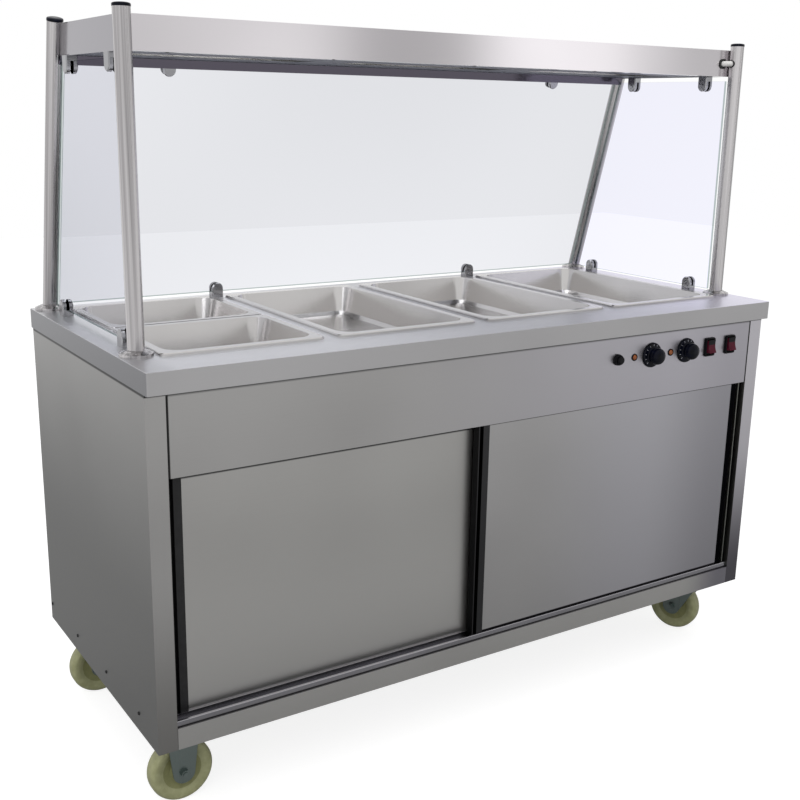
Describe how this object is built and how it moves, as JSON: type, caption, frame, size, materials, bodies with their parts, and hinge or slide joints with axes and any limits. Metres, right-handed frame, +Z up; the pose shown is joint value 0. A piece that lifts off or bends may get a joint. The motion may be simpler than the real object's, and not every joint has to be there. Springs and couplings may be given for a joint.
{
  "type": "mobile food service counter",
  "caption": "Stainless heated cupboard on swivel castors with a pan-well worktop, sliding doors, front control panel and a glazed sneeze-guard gantry with a lamp canopy.",
  "frame": {"origin": "on the floor under the middle of the overall box", "axes": "+X along the counter to the right of someone facing the controls, +Y from the control side to the customer side, +Z up"},
  "size_m": [1.52, 0.6934, 1.438],
  "materials": {
    "satin_stainless": "satin, long-grain brushed",
    "worktop_stainless": "satin, brushed along its length",
    "door_stainless": "satin, brushed upright",
    "post_stainless": "polished tube",
    "pan_stainless": "bright pressed",
    "inner_steel": "mill finish",
    "track_aluminium": "extruded, bright",
    "reflector": "polished",
    "pull_profile": "dark grey extrusion",
    "black_plastic": "moulded",
    "knob_plastic": "moulded, semi-gloss",
    "red_lens": "translucent red",
    "amber_lens": "translucent amber",
    "clear_glass": "clear toughened",
    "quartz": "clear tube",
    "clamp_chrome": "polished",
    "screw_dark": "dark",
    "zinc": "bright zinc plate",
    "wheel_nylon": "cast nylon",
    "white_cable": "extruded sheath",
    "grommet_rubber": "moulded",
    "element_sheath": "oxidised sheath"
  },
  "bodies": {
    "counter": {"worktop": "worktop_stainless", "side_panel_left": "satin_stainless", "side_panel_right": "satin_stainless", "side_screws": "screw_dark", "back_panel": "satin_stainless", "base_tray": "satin_stainless", "chassis_beams": "inner_steel", "control_fascia": "satin_stainless", "bottom_door_track": "track_aluminium", "top_door_track": "track_aluminium", "inner_shelf": "inner_steel", "shelf_supports": "inner_steel", "well_tank": "inner_steel", "well_heater": "element_sheath", "cupboard_heater": "element_sheath", "front_posts": "post_stainless", "rear_posts": "post_stainless", "post_flanges": "post_stainless", "post_caps": "black_plastic", "canopy_shell": "satin_stainless", "canopy_under_panel": "inner_steel", "lamp_reflectors": "reflector", "heat_lamps": "quartz", "side_glass_left": "clear_glass", "side_glass_right": "clear_glass", "rear_glass": "clear_glass", "glass_clamps": "clamp_chrome", "clamp_screws": "clamp_chrome", "gantry_cable": "white_cable", "cable_grommets": "grommet_rubber", "control_switchgear": "black_plastic", "control_bezels": "black_plastic", "indicator_lamps": "amber_lens", "castor_plates": "zinc", "castor_fork_front_left": "zinc", "castor_axle_front_left": "zinc", "castor_fork_rear_left": "zinc", "castor_axle_rear_left": "zinc"},
    "left_sliding_door": {"left_door": "door_stainless", "left_door_pulls": "pull_profile"},
    "right_sliding_door": {"right_door": "door_stainless", "right_door_pulls": "pull_profile"},
    "castor_roller_front_left": {"castor_wheel_front_left": "wheel_nylon"},
    "castor_swivel_front_right": {"castor_fork_front_right": "zinc", "castor_axle_front_right": "zinc"},
    "castor_roller_front_right": {"castor_wheel_front_right": "wheel_nylon"},
    "castor_roller_rear_left": {"castor_wheel_rear_left": "wheel_nylon"},
    "castor_swivel_rear_right": {"castor_fork_rear_right": "zinc", "castor_axle_rear_right": "zinc"},
    "castor_roller_rear_right": {"castor_wheel_rear_right": "wheel_nylon"},
    "reset_push_button": {"reset_button": "black_plastic"},
    "thermostat_knob_left": {"knob_left": "knob_plastic"},
    "thermostat_knob_right": {"knob_right": "knob_plastic"},
    "rocker_switch_left": {"rocker_left": "red_lens"},
    "rocker_switch_right": {"rocker_right": "red_lens"},
    "loose_pan_half_front": {"pan_half_front": "pan_stainless"},
    "loose_pan_half_rear": {"pan_half_rear": "pan_stainless"},
    "loose_pan_centre_left": {"pan_centre_left": "pan_stainless"},
    "loose_pan_centre_right": {"pan_centre_right": "pan_stainless"},
    "loose_pan_right": {"pan_right": "pan_stainless"}
  },
  "joints": [
    {"name": "left_door_slide", "type": "slide", "parent": "counter", "child": "left_sliding_door", "axis": [1, 0, 0], "range_m": [0, 0.65]},
    {"name": "right_door_slide", "type": "slide", "parent": "counter", "child": "right_sliding_door", "axis": [-1, 0, 0], "range_m": [0, 0.65]},
    {"name": "wheel_front_left", "type": "hinge", "parent": "counter", "child": "castor_roller_front_left", "pos_m": [-0.688, -0.23325, 0.0625], "axis": [0, 1, 0], "continuous": true},
    {"name": "swivel_front_right", "type": "hinge", "parent": "counter", "child": "castor_swivel_front_right", "pos_m": [0.688, -0.23325, 0.15], "axis": [0, 0, 1], "continuous": true},
    {"name": "wheel_front_right", "type": "hinge", "parent": "castor_swivel_front_right", "child": "castor_roller_front_right", "pos_m": [0.67628, -0.19921, 0.0625], "axis": [-0.9455, -0.3256, 0], "continuous": true},
    {"name": "wheel_rear_left", "type": "hinge", "parent": "counter", "child": "castor_roller_rear_left", "pos_m": [-0.688, 0.24675, 0.0625], "axis": [0, 1, 0], "continuous": true},
    {"name": "swivel_rear_right", "type": "hinge", "parent": "counter", "child": "castor_swivel_rear_right", "pos_m": [0.688, 0.24675, 0.15], "axis": [0, 0, 1], "continuous": true},
    {"name": "wheel_rear_right", "type": "hinge", "parent": "castor_swivel_rear_right", "child": "castor_roller_rear_right", "pos_m": [0.65417, 0.25906, 0.0625], "axis": [-0.342, -0.9397, 0], "continuous": true},
    {"name": "reset_button_push", "type": "slide", "parent": "counter", "child": "reset_push_button", "axis": [0, 1, 0], "range_m": [0, 0.004], "stiffness_N_per_m": 400},
    {"name": "knob_turn_left", "type": "hinge", "parent": "counter", "child": "thermostat_knob_left", "pos_m": [0.403, -0.31575, 0.766], "axis": [0, 1, 0], "range_deg": [0, 270]},
    {"name": "knob_turn_right", "type": "hinge", "parent": "counter", "child": "thermostat_knob_right", "pos_m": [0.5095, -0.31575, 0.766], "axis": [0, 1, 0], "range_deg": [0, 270]},
    {"name": "rocker_tilt_left", "type": "hinge", "parent": "counter", "child": "rocker_switch_left", "pos_m": [0.5855, -0.3118, 0.766], "axis": [1, 0, 0], "range_deg": [0, 18]},
    {"name": "rocker_tilt_right", "type": "hinge", "parent": "counter", "child": "rocker_switch_right", "pos_m": [0.6525, -0.3118, 0.766], "axis": [1, 0, 0], "range_deg": [0, 18]},
    {"name": "pan_half_front_tip", "type": "hinge", "parent": "counter", "child": "loose_pan_half_front", "pos_m": [-0.5295, 0.03375, 0.86], "axis": [-1, 0, 0], "range_deg": [0, 30]},
    {"name": "pan_half_rear_tip", "type": "hinge", "parent": "counter", "child": "loose_pan_half_rear", "pos_m": [-0.5295, 0.29975, 0.86], "axis": [-1, 0, 0], "range_deg": [0, 30]},
    {"name": "pan_centre_left_tip", "type": "hinge", "parent": "counter", "child": "loose_pan_centre_left", "pos_m": [-0.1765, 0.29975, 0.86], "axis": [-1, 0, 0], "range_deg": [0, 30]},
    {"name": "pan_centre_right_tip", "type": "hinge", "parent": "counter", "child": "loose_pan_centre_right", "pos_m": [0.1765, 0.29975, 0.86], "axis": [-1, 0, 0], "range_deg": [0, 30]},
    {"name": "pan_right_tip", "type": "hinge", "parent": "counter", "child": "loose_pan_right", "pos_m": [0.5295, 0.29975, 0.86], "axis": [-1, 0, 0], "range_deg": [0, 30]}
  ]
}
